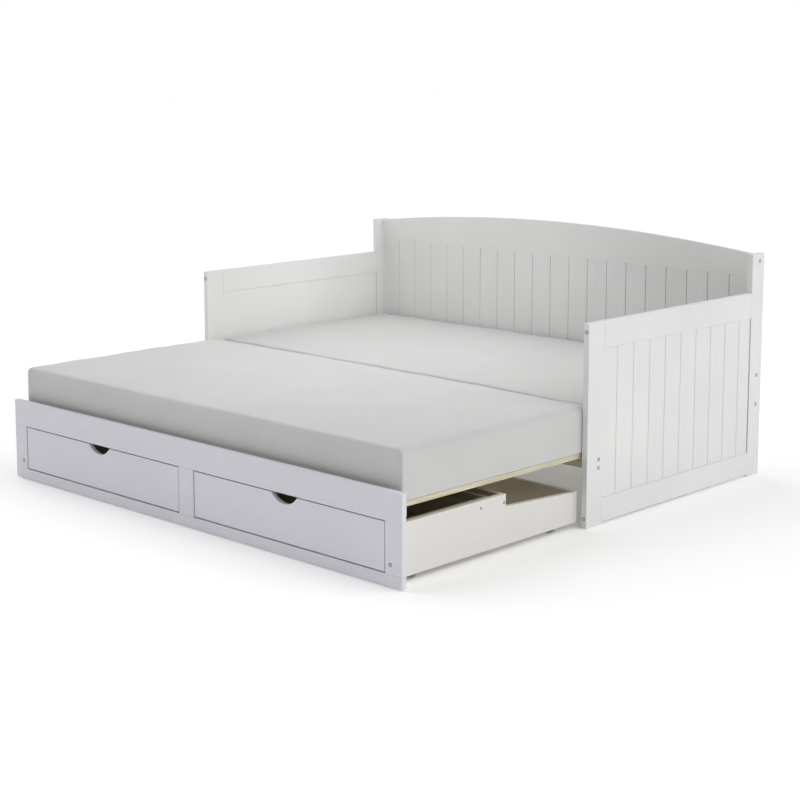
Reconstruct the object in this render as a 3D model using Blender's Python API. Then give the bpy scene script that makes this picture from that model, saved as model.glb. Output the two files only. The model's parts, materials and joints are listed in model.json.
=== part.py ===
"""A wooden daybed with a pull-out front half, two drawers and two mattresses.

Metres, +Z up, +X to the right, -Y to the front. The bed stands on Z = 0, pulled out for two
sleepers, and the origin is under the middle of its outer box in that state.
"""

import math

import bmesh
import bpy
from mathutils import Vector

for old in list(bpy.data.objects):
    bpy.data.objects.remove(old, do_unlink=True)

# ---- driving dimensions -------------------------------------------------------------------

GAP = 0.0003  # between faces that touch
EASE = 0.0015  # chamfer on every sawn edge

BED_WIDTH = 2.030  # over the outer faces of the arms
BED_DEPTH = 1.099  # front of the arms to the rear of the back posts
REACH = 0.937  # front of the arms to the front of the pulled-out drawer unit
POST_THICK = 0.023

ARM_HEIGHT = 0.7175
ARM_POST_WIDTH = 0.088
ARM_RAIL = 0.0955  # height of the arm's top rail
ARM_FOOT_GAP = 0.0085  # bottom rail to the floor
ARM_BOTTOM_RAIL = 0.0870

BACK_HEIGHT = 0.868
BACK_POST_WIDTH = 0.081
ARCH_RISE = 0.057
ARCH_END_DROP = 0.002  # ends of the arched rail below the tops of the posts
BACK_RAIL_LOW = 0.778  # lower edge of the arched rail
BACK_RAIL_THICK = 0.020
BACK_SETBACK = 0.039  # front of the back posts to the front of the rails between them
BACK_BOTTOM_LOW, BACK_BOTTOM_TOP = 0.205, 0.420

PANEL_THICK = 0.0185  # of the arms' planks
ARM_PANEL_RECESS, BACK_PANEL_RECESS = 0.0030, 0.0006  # planks behind the rails' show faces
ARM_PLANK = 0.0965
BACK_PLANK = 0.0984
GROOVE_WIDTH, GROOVE_DEPTH = 0.0050, 0.0026

FRONT_HALF_WIDTH = 1.030
FRONT_THICK = 0.020
FRONT_LOW, FRONT_TOP = 0.005, 0.3075
OPENING_LOW, OPENING_TOP = 0.043, 0.211
STILE_CENTRE_HALF = 0.0395
OPENING_OUT = 0.9575  # outer edge of each drawer opening

SLAT_TOP = 0.262
SLAT_THICK = 0.018
SLAT_WIDTH = 0.110
PULLOUT_SLATS = 6
SLAT_SPAN = 0.980  # half-width that the slats cover
CLEAT_HEIGHT = 0.030
FRONT_CLEAT_WIDTH, REAR_CLEAT_WIDTH = 0.055, 0.027
FIXED_SLAT_PROUD = 0.012  # front ends of the fixed slats past the cross rail
FIXED_SLAT_BACK_GAP = 0.004
PULLOUT_SLAT_TAIL = 0.062  # rear ends of the pull-out slats past the cross rail
BATTEN_CLEAR, BATTEN_WIDTH = 0.003, 0.028

CROSS_RAIL_FRONT, CROSS_RAIL_THICK, CROSS_RAIL_LOW = 0.052, 0.026, 0.197

BOX_HALF_WIDTH = 0.980
BOX_BOARD = 0.018
BOX_LOW, BOX_TOP = 0.0205, 0.195
BOX_STEP_TOP = 0.150  # top of the lower part behind the drawer bay
BOX_TAIL_TOP = 0.132
BOX_TAIL = 0.106  # length of the stretch that slopes down to the rear
BOX_REAR = -0.009  # from the front of the arms
BAY_REAR = -0.389

DRAWER_CLEAR = 0.0025
DRAWER_BOARD = 0.012
DRAWER_SIDE_LOW, DRAWER_SIDE_TOP = 0.062, 0.185
DRAWER_BOTTOM_THICK = 0.006
DRAWER_SIDE_INSET = 0.018
DRAWER_BACK = -0.425
DRAWER_FRONT_INSET = 0.0008
DRAWER_BOTTOM_EASE = 0.0008
NOTCH_HALF_WIDTH, NOTCH_DEPTH = 0.060, 0.031
RUNNER_WIDTH, RUNNER_HEIGHT = 0.040, 0.0235

WHEEL_RADIUS, WHEEL_WIDTH = 0.025, 0.018
WHEEL_BORE = 0.0046
PIN_RADIUS = 0.0040
PIN_HEAD = 0.0075
WHEEL_YS = {"front": -0.812, "rear": -0.118}
BRACKET_PLATE = 0.003
BRACKET_BOSS = 0.011  # radius of the boss that holds the pin
BRACKET_LENGTH, BRACKET_HEIGHT, BRACKET_RISE = 0.044, 0.034, 0.012
TREAD_EDGE = 0.0025
PIN_HEAD_THICK = 0.0020
WHEEL_PLATE_GAP, WHEEL_HEAD_GAP = 0.0010, 0.0005

MATTRESS_HALF_LENGTH = 0.988
MATTRESS_TOP = 0.430
MATTRESS_EDGE = 0.018
MATTRESS_LIFT = 0.0005  # above the slats, and between the mattresses when folded
SEAM_Y = 0.055  # from the front of the arms
SEAM_HALF_GAP = 0.0025
FRONT_MATTRESS_FRONT = -0.905
REAR_MATTRESS_BACK = 1.050

# ---- derived places -----------------------------------------------------------------------

ARM_FRONT = (REACH - BED_DEPTH) / 2  # Y of the front faces of the arms
HALF = BED_WIDTH / 2
INNER = HALF - POST_THICK
BACK_REAR = ARM_FRONT + BED_DEPTH
BACK_POST_FRONT = BACK_REAR - BACK_POST_WIDTH
BACK_RAIL_FRONT = BACK_POST_FRONT + BACK_SETBACK
FRONT_FACE = ARM_FRONT - REACH
FRONT_INNER = FRONT_FACE + FRONT_THICK
SLAT_LOW = SLAT_TOP - SLAT_THICK
CLEAT_TOP = SLAT_LOW - GAP
BAY_PANEL_FRONT = ARM_FRONT + BAY_REAR - BOX_BOARD
BOX_INNER = BOX_HALF_WIDTH - BOX_BOARD
SEAM = (0.0, ARM_FRONT + SEAM_Y, MATTRESS_TOP + MATTRESS_LIFT)

SIDES = (("left", -1), ("right", 1))


# ---- materials ----------------------------------------------------------------------------


def linear(channel):
    """One sRGB channel, 0 to 1, as Blender's linear value."""
    return channel / 12.92 if channel <= 0.04045 else ((channel + 0.055) / 1.055) ** 2.4


def finish(name, colour, roughness, metallic=0.0):
    made = bpy.data.materials.new(name)
    made.use_nodes = True
    shader = made.node_tree.nodes["Principled BSDF"]
    rgb = [linear(int(colour[i : i + 2], 16) / 255) for i in (0, 2, 4)]
    shader.inputs["Base Color"].default_value = (*rgb, 1.0)
    shader.inputs["Roughness"].default_value = roughness
    shader.inputs["Metallic"].default_value = metallic
    made.diffuse_color = (*rgb, 1.0)
    return made


WHITE_PAINT = finish("white_paint", "E6E6E4", 0.45)
RAW_PINE = finish("raw_pine", "DDD0A8", 0.60)
DRAWER_PLY = finish("drawer_ply", "D8CDB4", 0.60)
TICKING = finish("mattress_ticking", "D6D6D4", 0.90)
NYLON = finish("caster_nylon", "8A8A88", 0.50)
ZINC = finish("zinc_plate", "B9BABC", 0.35, 1.0)


# ---- makers -------------------------------------------------------------------------------


def joint_empty(name, where, parent=None):
    """An empty on a joint's axis, which the moving pieces hang from."""
    empty = bpy.data.objects.new(name, None)
    empty.empty_display_size = 0.1
    bpy.context.scene.collection.objects.link(empty)
    empty.parent = parent
    offset = world_place(parent) if parent else Vector()
    empty.location = Vector(where) - offset
    return empty


def world_place(empty):
    where = Vector(empty.location)
    return where + world_place(empty.parent) if empty.parent else where


def place(name, mesh, centre, parent, material, ease=EASE, segments=1):
    """Links a mesh as one named piece, with its origin at centre in world space."""
    piece = bpy.data.objects.new(name, mesh)
    bpy.context.scene.collection.objects.link(piece)
    piece.parent = parent
    piece.location = Vector(centre) - world_place(parent)
    mesh.materials.append(material)
    if ease:
        eased = piece.modifiers.new("eased_edges", "BEVEL")
        eased.width = ease
        eased.segments = segments
        eased.limit_method = "ANGLE"
        eased.angle_limit = math.radians(40)
    return piece


def board(name, low, high, parent, material=WHITE_PAINT, ease=EASE, segments=1):
    """A sawn board between two corners, with eased edges."""
    low = Vector(low)
    high = Vector(high)
    centre = (low + high) / 2
    half = (high - low) / 2
    made = bmesh.new()
    bmesh.ops.create_cube(made, size=2.0)
    for point in made.verts:
        point.co = Vector(a * b for a, b in zip(point.co, half))
    mesh = bpy.data.meshes.new(name)
    made.to_mesh(mesh)
    made.free()
    return place(name, mesh, centre, parent, material, ease, segments)


def extrusion(name, outline, axis, low, high, parent, material=WHITE_PAINT, ease=0.0):
    """A board cut to an outline and extruded from low to high along one axis.

    The outline's points are the other two axes in their cyclic order: YZ for X, ZX for Y, XY for Z.
    """
    first = "XYZ".index(axis)
    order = (first, (first + 1) % 3, (first + 2) % 3)
    made = bmesh.new()
    rings = []
    for along in (low, high):
        ring = []
        for point in outline:
            co = Vector()
            for index, value in zip(order, (along, *point)):
                co[index] = value
            ring.append(made.verts.new(co))
        rings.append(ring)
    made.faces.new(reversed(rings[0]))
    made.faces.new(rings[1])
    count = len(outline)
    for i in range(count):
        j = (i + 1) % count
        made.faces.new((rings[0][i], rings[0][j], rings[1][j], rings[1][i]))
    bmesh.ops.recalc_face_normals(made, faces=made.faces)
    corners = [point.co for point in made.verts]
    centre = Vector((min(c[i] for c in corners) + max(c[i] for c in corners)) / 2 for i in range(3))
    for point in made.verts:
        point.co -= centre
    mesh = bpy.data.meshes.new(name)
    made.to_mesh(mesh)
    made.free()
    return place(name, mesh, centre, parent, material, ease)


def grooved_edge(start, end, grooves, face, inward):
    """Points along one face of a planked panel, with a V at each groove, from start to end."""
    points = [(start, face)]
    step = 1 if end > start else -1
    for groove in sorted(grooves, reverse=step < 0):
        points.append((groove - step * GROOVE_WIDTH / 2, face))
        points.append((groove, face + inward * GROOVE_DEPTH))
        points.append((groove + step * GROOVE_WIDTH / 2, face))
    points.append((end, face))
    return points


def arc(centre, radius, start, end, count):
    """Points on an arc in degrees, both ends included."""
    angles = [math.radians(start + (end - start) * i / count) for i in range(count + 1)]
    return [(centre[0] + radius * math.cos(a), centre[1] + radius * math.sin(a)) for a in angles]


# ---- the fixed daybed ---------------------------------------------------------------------


def make_back(frame):
    for side, sign in SIDES:
        inner, outer = sorted((sign * INNER, sign * HALF))
        board(
            f"back_post_{side}",
            (inner, BACK_POST_FRONT, 0),
            (outer, BACK_REAR, BACK_HEIGHT),
            frame,
        )
    reach = INNER - GAP
    rail_rear = BACK_RAIL_FRONT + BACK_RAIL_THICK
    rail_end = BACK_HEIGHT - ARCH_END_DROP
    radius = (reach**2 + ARCH_RISE**2) / (2 * ARCH_RISE)
    half_angle = math.degrees(math.asin(reach / radius))
    crown = arc((0, rail_end + ARCH_RISE - radius), radius, 90 - half_angle, 90 + half_angle, 24)
    outline = [(-reach, BACK_RAIL_LOW), (reach, BACK_RAIL_LOW), *crown]
    extrusion(
        "back_top_rail",
        [(z, x) for x, z in outline],
        "Y",
        BACK_RAIL_FRONT,
        rail_rear,
        frame,
        ease=EASE,
    )
    board(
        "back_bottom_rail",
        (-reach, BACK_RAIL_FRONT, BACK_BOTTOM_LOW),
        (reach, rail_rear, BACK_BOTTOM_TOP),
        frame,
    )
    faces = (BACK_RAIL_FRONT + BACK_PANEL_RECESS, rail_rear - BACK_PANEL_RECESS)
    half_count = int(reach / BACK_PLANK)
    grooves = [i * BACK_PLANK for i in range(-half_count, half_count + 1)]
    outline = grooved_edge(-reach, reach, grooves, faces[0], 1)
    outline += grooved_edge(reach, -reach, grooves, faces[1], -1)
    extrusion(
        "back_panel",
        outline,
        "Z",
        BACK_BOTTOM_TOP + GAP,
        BACK_RAIL_LOW - GAP,
        frame,
    )


def make_arm(frame, side, sign):
    inner, outer = sorted((sign * INNER, sign * HALF))
    post_rear = ARM_FRONT + ARM_POST_WIDTH
    rail_front = post_rear + GAP
    rail_rear = BACK_POST_FRONT - GAP
    top_low = ARM_HEIGHT - ARM_RAIL
    bottom_top = ARM_FOOT_GAP + ARM_BOTTOM_RAIL
    board(f"arm_{side}_front_post", (inner, ARM_FRONT, 0), (outer, post_rear, ARM_HEIGHT), frame)
    board(
        f"arm_{side}_top_rail",
        (inner, rail_front, top_low),
        (outer, rail_rear, ARM_HEIGHT),
        frame,
    )
    board(
        f"arm_{side}_bottom_rail",
        (inner, rail_front, ARM_FOOT_GAP),
        (outer, rail_rear, bottom_top),
        frame,
    )
    show = sign * (HALF - ARM_PANEL_RECESS)
    hidden = show - sign * PANEL_THICK
    count = int((rail_rear - rail_front) / ARM_PLANK)
    first = (rail_front + rail_rear) / 2 - (count - 1) * ARM_PLANK / 2
    grooves = [first + i * ARM_PLANK for i in range(count)]
    outline = grooved_edge(rail_front, rail_rear, grooves, show, -sign)
    outline += [(rail_rear, hidden), (rail_front, hidden)]
    extrusion(
        f"arm_{side}_panel",
        [(x, y) for y, x in outline],
        "Z",
        bottom_top + GAP,
        top_low - GAP,
        frame,
    )


def slat_centres():
    """X of every slat, pull-out and fixed ones in turn, from left to right."""
    count = 2 * PULLOUT_SLATS - 1
    first = -SLAT_SPAN + SLAT_WIDTH / 2
    pitch = -2 * first / (count - 1)
    return [first + i * pitch for i in range(count)]


def make_fixed_base(frame):
    reach = INNER - GAP
    rail_front = ARM_FRONT + CROSS_RAIL_FRONT
    board(
        "front_cross_rail",
        (-reach, rail_front, CROSS_RAIL_LOW),
        (reach, rail_front + CROSS_RAIL_THICK, CLEAT_TOP),
        frame,
    )
    board(
        "rear_slat_cleat",
        (-SLAT_SPAN, BACK_RAIL_FRONT - REAR_CLEAT_WIDTH, CLEAT_TOP - CLEAT_HEIGHT),
        (SLAT_SPAN, BACK_RAIL_FRONT - GAP, CLEAT_TOP),
        frame,
        RAW_PINE,
    )
    for number, x in enumerate(slat_centres()[1::2], 1):
        board(
            f"fixed_slat_{number}",
            (x - SLAT_WIDTH / 2, rail_front - FIXED_SLAT_PROUD, SLAT_LOW),
            (x + SLAT_WIDTH / 2, BACK_RAIL_FRONT - FIXED_SLAT_BACK_GAP, SLAT_TOP),
            frame,
            RAW_PINE,
        )
    mattress("rear_mattress", SEAM[1] + SEAM_HALF_GAP, ARM_FRONT + REAR_MATTRESS_BACK, frame)


def mattress(name, front, rear, parent):
    board(
        name,
        (-MATTRESS_HALF_LENGTH, front, SLAT_TOP + MATTRESS_LIFT),
        (MATTRESS_HALF_LENGTH, rear, MATTRESS_TOP),
        parent,
        TICKING,
        MATTRESS_EDGE,
        2,
    )


# ---- the pull-out front half --------------------------------------------------------------


def make_front_frame(pullout):
    faces = (FRONT_FACE, FRONT_INNER)
    wide = FRONT_HALF_WIDTH
    board(
        "front_top_rail",
        (-wide, faces[0], OPENING_TOP),
        (wide, faces[1], FRONT_TOP),
        pullout,
    )
    board(
        "front_bottom_rail",
        (-wide, faces[0], FRONT_LOW),
        (wide, faces[1], OPENING_LOW),
        pullout,
    )
    stiles = {
        "left": (-wide, -OPENING_OUT),
        "centre": (-STILE_CENTRE_HALF, STILE_CENTRE_HALF),
        "right": (OPENING_OUT, wide),
    }
    for side, (x0, x1) in stiles.items():
        board(
            f"front_stile_{side}",
            (x0, faces[0], OPENING_LOW + GAP),
            (x1, faces[1], OPENING_TOP - GAP),
            pullout,
        )
    board(
        "front_slat_cleat",
        (-SLAT_SPAN, FRONT_INNER + GAP, CLEAT_TOP - CLEAT_HEIGHT),
        (SLAT_SPAN, FRONT_INNER + FRONT_CLEAT_WIDTH, CLEAT_TOP),
        pullout,
        RAW_PINE,
    )


def make_box(pullout):
    front = FRONT_INNER + GAP
    rear = ARM_FRONT + BOX_REAR
    side_rear = rear - BOX_BOARD - GAP
    step = ARM_FRONT + BAY_REAR
    outline = [
        (front, BOX_LOW),
        (side_rear, BOX_LOW),
        (side_rear, BOX_TAIL_TOP),
        (rear - BOX_TAIL, BOX_STEP_TOP),
        (step, BOX_STEP_TOP),
        (step, BOX_TOP),
        (front, BOX_TOP),
    ]
    for side, sign in SIDES:
        low, high = sorted((sign * BOX_INNER, sign * BOX_HALF_WIDTH))
        extrusion(f"box_side_{side}", outline, "X", low, high, pullout, ease=EASE)
    reach = BOX_INNER - GAP
    board(
        "box_cross_panel",
        (-reach, BAY_PANEL_FRONT, BOX_LOW),
        (reach, BAY_PANEL_FRONT + BOX_BOARD, BOX_TOP),
        pullout,
        DRAWER_PLY,
    )
    board(
        "box_rear_board",
        (-BOX_HALF_WIDTH, rear - BOX_BOARD, BOX_LOW),
        (BOX_HALF_WIDTH, rear, BOX_TAIL_TOP),
        pullout,
    )
    board(
        "box_centre_divider",
        (-BOX_BOARD / 2, front, BOX_LOW),
        (BOX_BOARD / 2, BAY_PANEL_FRONT - GAP, BOX_TOP),
        pullout,
        DRAWER_PLY,
    )
    for side, sign in SIDES:
        x = sign * (STILE_CENTRE_HALF + OPENING_OUT) / 2
        top = DRAWER_SIDE_LOW - DRAWER_BOTTOM_THICK - 2 * GAP
        board(
            f"drawer_runner_{side}",
            (x - RUNNER_WIDTH / 2, front, top - RUNNER_HEIGHT),
            (x + RUNNER_WIDTH / 2, BAY_PANEL_FRONT - GAP, top),
            pullout,
            RAW_PINE,
        )


def make_pullout_slats(pullout):
    rail_rear = ARM_FRONT + CROSS_RAIL_FRONT + CROSS_RAIL_THICK
    slat_rear = rail_rear + PULLOUT_SLAT_TAIL
    batten_front = rail_rear + BATTEN_CLEAR
    for number, x in enumerate(slat_centres()[0::2], 1):
        board(
            f"pullout_slat_{number}",
            (x - SLAT_WIDTH / 2, FRONT_INNER + GAP, SLAT_LOW),
            (x + SLAT_WIDTH / 2, slat_rear, SLAT_TOP),
            pullout,
            RAW_PINE,
        )
    board(
        "slat_stop_batten",
        (-SLAT_SPAN, batten_front, CLEAT_TOP - CLEAT_HEIGHT),
        (SLAT_SPAN, batten_front + BATTEN_WIDTH, CLEAT_TOP),
        pullout,
        RAW_PINE,
    )


def turned(name, profile, axle, parent, material, steps=24):
    """A solid turned about X through axle from a closed profile of (x, radius) points."""
    made = bmesh.new()
    ring = [made.verts.new((x, 0, radius)) for x, radius in profile]
    edges = [made.edges.new((ring[i - 1], ring[i])) for i in range(len(ring))]
    bmesh.ops.spin(
        made,
        geom=ring + edges,
        cent=(0, 0, 0),
        axis=(1, 0, 0),
        angle=2 * math.pi,
        steps=steps,
    )
    bmesh.ops.remove_doubles(made, verts=made.verts, dist=1e-5)
    bmesh.ops.recalc_face_normals(made, faces=made.faces)
    mesh = bpy.data.meshes.new(name)
    made.to_mesh(mesh)
    made.free()
    piece = place(name, mesh, axle, parent, material, 0.0)
    mesh.shade_smooth()
    mesh.set_sharp_from_angle(angle=math.radians(35))
    return piece


def make_caster(pullout, wheel_parent, name, axle, sign):
    """A wheel on a stub pin, and the plate that holds the pin inside the box's side."""
    half = WHEEL_WIDTH / 2
    tread = [
        (-half, WHEEL_BORE),
        (half, WHEEL_BORE),
        (half, WHEEL_RADIUS - TREAD_EDGE),
        (half - TREAD_EDGE, WHEEL_RADIUS),
        (TREAD_EDGE - half, WHEEL_RADIUS),
        (-half, WHEEL_RADIUS - TREAD_EDGE),
    ]
    turned(f"caster_wheel_{name}", tread, axle, wheel_parent, NYLON)
    plate_outer = sign * (BOX_INNER - GAP) - axle.x
    plate_inner = plate_outer - sign * BRACKET_PLATE
    head = -sign * (half + WHEEL_HEAD_GAP)
    head_end = head - sign * PIN_HEAD_THICK
    pin = [
        (plate_inner, BRACKET_BOSS),
        (plate_outer, BRACKET_BOSS),
        (plate_outer, 0.0),
        (head_end, 0.0),
        (head_end, PIN_HEAD - EASE / 2),
        (head, PIN_HEAD),
        (head, PIN_RADIUS),
        (plate_inner, PIN_RADIUS),
    ]
    bracket = turned(f"caster_bracket_{name}", pin, axle, pullout, ZINC, 16)
    plate = bmesh.new()
    bmesh.ops.create_cube(plate, size=1.0)
    for point in plate.verts:
        point.co = Vector(
            (
                (plate_outer + plate_inner) / 2 + point.co.x * (BRACKET_PLATE - GAP),
                point.co.y * BRACKET_LENGTH,
                point.co.z * BRACKET_HEIGHT + BRACKET_RISE,
            )
        )
    mesh = bpy.data.meshes.new(f"plate_{name}")
    plate.to_mesh(mesh)
    plate.free()
    helper = bpy.data.objects.new(f"plate_{name}", mesh)
    bpy.context.scene.collection.objects.link(helper)
    helper.parent = pullout
    helper.location = Vector(axle) - world_place(pullout)
    helper.hide_render = True
    helper.display_type = "WIRE"
    joined = bracket.modifiers.new("plate", "BOOLEAN")
    joined.operation = "UNION"
    joined.object = helper


# ---- the drawers --------------------------------------------------------------------------


def make_drawer(drawer, side, sign):
    middle = sign * (STILE_CENTRE_HALF + OPENING_OUT) / 2
    half = (OPENING_OUT - STILE_CENTRE_HALF) / 2 - DRAWER_CLEAR
    low = OPENING_LOW + DRAWER_CLEAR
    top = OPENING_TOP - DRAWER_CLEAR
    front = FRONT_FACE + DRAWER_FRONT_INSET
    front_rear = front + BOX_BOARD
    radius = (NOTCH_HALF_WIDTH**2 + NOTCH_DEPTH**2) / (2 * NOTCH_DEPTH)
    dip = math.degrees(math.asin(NOTCH_HALF_WIDTH / radius))
    notch = arc((middle, top - NOTCH_DEPTH + radius), radius, 270 + dip, 270 - dip, 16)
    outline = [
        (middle - half, low),
        (middle + half, low),
        (middle + half, top),
        *notch,
        (middle - half, top),
    ]
    extrusion(
        f"drawer_{side}_front",
        [(z, x) for x, z in outline],
        "Y",
        front,
        front_rear,
        drawer,
        ease=EASE,
    )
    box_front = front_rear + GAP
    box_rear = ARM_FRONT + DRAWER_BACK
    box_half = half - DRAWER_SIDE_INSET
    low = DRAWER_SIDE_LOW
    for name, way in SIDES:
        x0, x1 = sorted((way * (box_half - DRAWER_BOARD), way * box_half))
        board(
            f"drawer_{side}_side_{name}",
            (middle + x0, box_front, low),
            (middle + x1, box_rear, DRAWER_SIDE_TOP),
            drawer,
            DRAWER_PLY,
        )
    reach = box_half - DRAWER_BOARD - GAP
    board(
        f"drawer_{side}_back",
        (middle - reach, box_rear - DRAWER_BOARD, low),
        (middle + reach, box_rear, DRAWER_SIDE_TOP),
        drawer,
        DRAWER_PLY,
    )
    board(
        f"drawer_{side}_bottom",
        (middle - box_half, box_front, low - GAP - DRAWER_BOTTOM_THICK),
        (middle + box_half, box_rear, low - GAP),
        drawer,
        DRAWER_PLY,
        DRAWER_BOTTOM_EASE,
    )


def main():
    frame = joint_empty("daybed", (0, 0, 0))
    pullout = joint_empty("pullout", (0, FRONT_FACE, (FRONT_LOW + FRONT_TOP) / 2))
    make_back(frame)
    for side, sign in SIDES:
        make_arm(frame, side, sign)
    make_fixed_base(frame)

    make_front_frame(pullout)
    make_box(pullout)
    make_pullout_slats(pullout)
    for side, sign in SIDES:
        middle = sign * (STILE_CENTRE_HALF + OPENING_OUT) / 2
        grip = (middle, FRONT_FACE, (OPENING_LOW + OPENING_TOP) / 2)
        make_drawer(joint_empty(f"drawer_{side}", grip, pullout), side, sign)
        x = sign * (BOX_INNER - GAP - BRACKET_PLATE - WHEEL_PLATE_GAP - WHEEL_WIDTH / 2)
        for end, y in WHEEL_YS.items():
            name = f"{end}_{side}"
            axle = Vector((x, ARM_FRONT + y, WHEEL_RADIUS))
            axle_empty = joint_empty(f"axle_{name}", axle, pullout)
            make_caster(pullout, axle_empty, name, axle, sign)

    fold = joint_empty("mattress_fold", SEAM)
    front = ARM_FRONT + FRONT_MATTRESS_FRONT
    mattress("front_mattress", front, SEAM[1] - SEAM_HALF_GAP, fold)


main()
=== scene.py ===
"""The looks of a white wooden daybed with a pull-out front half: lacquered pine boards, raw pine
slats, drawers, bolts, casters and two covered foam mattresses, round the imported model.

Metres, +Z up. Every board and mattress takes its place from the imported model's boxes, and the bolts
are set out from those.
"""

import json
import math

import bmesh
import bpy
import numpy as np
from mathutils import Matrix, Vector, noise


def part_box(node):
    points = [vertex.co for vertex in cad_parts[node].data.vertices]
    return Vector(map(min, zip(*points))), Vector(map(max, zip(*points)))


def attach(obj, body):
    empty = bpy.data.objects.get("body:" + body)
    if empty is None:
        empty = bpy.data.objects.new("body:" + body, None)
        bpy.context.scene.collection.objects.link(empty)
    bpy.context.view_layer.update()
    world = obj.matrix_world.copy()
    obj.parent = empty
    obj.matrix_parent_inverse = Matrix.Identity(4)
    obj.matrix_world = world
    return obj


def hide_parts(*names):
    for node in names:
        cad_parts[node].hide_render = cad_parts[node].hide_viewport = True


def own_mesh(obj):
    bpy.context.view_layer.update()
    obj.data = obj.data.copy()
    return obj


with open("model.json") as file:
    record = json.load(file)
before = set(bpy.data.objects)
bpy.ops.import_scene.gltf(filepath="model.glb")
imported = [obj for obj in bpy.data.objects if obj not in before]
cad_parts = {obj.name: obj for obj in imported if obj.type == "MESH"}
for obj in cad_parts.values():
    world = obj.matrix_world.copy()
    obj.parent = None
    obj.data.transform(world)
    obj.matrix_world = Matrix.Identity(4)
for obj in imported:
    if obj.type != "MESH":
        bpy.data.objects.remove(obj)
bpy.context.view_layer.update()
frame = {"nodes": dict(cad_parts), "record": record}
NODES = frame["nodes"]

# ---- camera -------------------------------------------------------------------------------

CAMERA_PLACE = (4.463, -4.624, 1.623)
CAMERA_TURN = 43.66  # degrees from looking along +Y, towards -X
CAMERA_TILT = 8.40  # degrees below the horizon
CAMERA_LENS = 76.2
CAMERA_SHIFT = -0.12


def make_camera():
    data = bpy.data.cameras.new("camera")
    data.lens = CAMERA_LENS
    data.sensor_width = 36.0
    data.shift_y = CAMERA_SHIFT
    camera = bpy.data.objects.new("camera", data)
    camera.location = CAMERA_PLACE
    camera.rotation_euler = (
        math.radians(90 - CAMERA_TILT),
        0,
        math.radians(CAMERA_TURN),
    )
    bpy.context.scene.collection.objects.link(camera)
    bpy.context.scene.camera = camera


# ---- sizes of the finish ------------------------------------------------------------------

BOARD_ROUND = 0.0015  # sanded edge of a lacquered board
JOINT_ROUND_SHARE = 0.25  # of that, where two boards meet flush and the lacquer fills the joint
ROUND_SEGMENTS = 3
GROOVE_HALF = 0.0026  # V joint between planks
GROOVE_DEEP = 0.0022
SLIT_HALF = 0.0011  # the open joint at the foot of the V
SLIT_DEEP = 0.0065
BOARD_SHARP = 40  # degrees: an edge that turns by more than this stays sharp
PLANK_SHARP = 20
BOLT_SHARP = 40
ARCH_STEPS = 64
NOTCH_STEPS = 28

# ---- materials ----------------------------------------------------------------------------


def linear(colour):
    """An sRGB hex colour as Blender's linear RGBA."""
    channels = [int(colour[i : i + 2], 16) / 255 for i in (0, 2, 4)]
    lit = [c / 12.92 if c <= 0.04045 else ((c + 0.055) / 1.055) ** 2.4 for c in channels]
    return (*lit, 1.0)


def grey(value):
    return (value, value, value, 1.0)


def add(tree, kind, output, inputs=None, stops=(), **settings):
    """Adds a shader node and gives back one of its outputs.

    inputs holds values or other nodes' outputs, stops a colour ramp's (position, colour) pairs,
    and settings the node's own properties.
    """
    made = tree.nodes.new("ShaderNode" + kind)
    for key, value in settings.items():
        setattr(made, key, value)
    for key, value in (inputs or {}).items():
        if isinstance(value, bpy.types.NodeSocket):
            tree.links.new(value, made.inputs[key])
        else:
            made.inputs[key].default_value = value
    if stops:
        elements = made.color_ramp.elements
        while len(elements) < len(stops):
            elements.new(0.5)
        for element, (position, colour) in zip(elements, stops):
            element.position = position
            element.color = colour
    return made.outputs[output]


def blank(name):
    """A new material: its tree, its Principled shader, and each point's place in metres."""
    made = bpy.data.materials.new(name)
    made.use_nodes = True
    tree = made.node_tree
    place = add(tree, "TexCoord", "Object")
    return made, tree, tree.nodes["Principled BSDF"], place


def per_mm(size):
    """Texture scale, in features per metre, for a feature of this many millimetres."""
    return 1000.0 / size


def drawn_out(axis, length, width):
    """Texture scales for a pattern that runs along one axis: feature length and width in mm."""
    scale = [per_mm(width)] * 3
    scale["XYZ".index(axis)] = per_mm(length)
    return scale


def band_scale(apart):
    """Wave texture scale for diagonal bands this many millimetres apart: the wave turns through
    ten radians for each unit of X plus Y."""
    return per_mm(apart) * 2 * math.pi / (10 * math.sqrt(2))


RING_TURNS = 46.0  # radians that the growth rings turn through as their noise goes from 0 to 1
COLOURS = {"data_type": "RGBA"}
FIRST, SECOND, MIXED = 6, 7, 2  # the colour inputs and the colour output of a mix node


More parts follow.
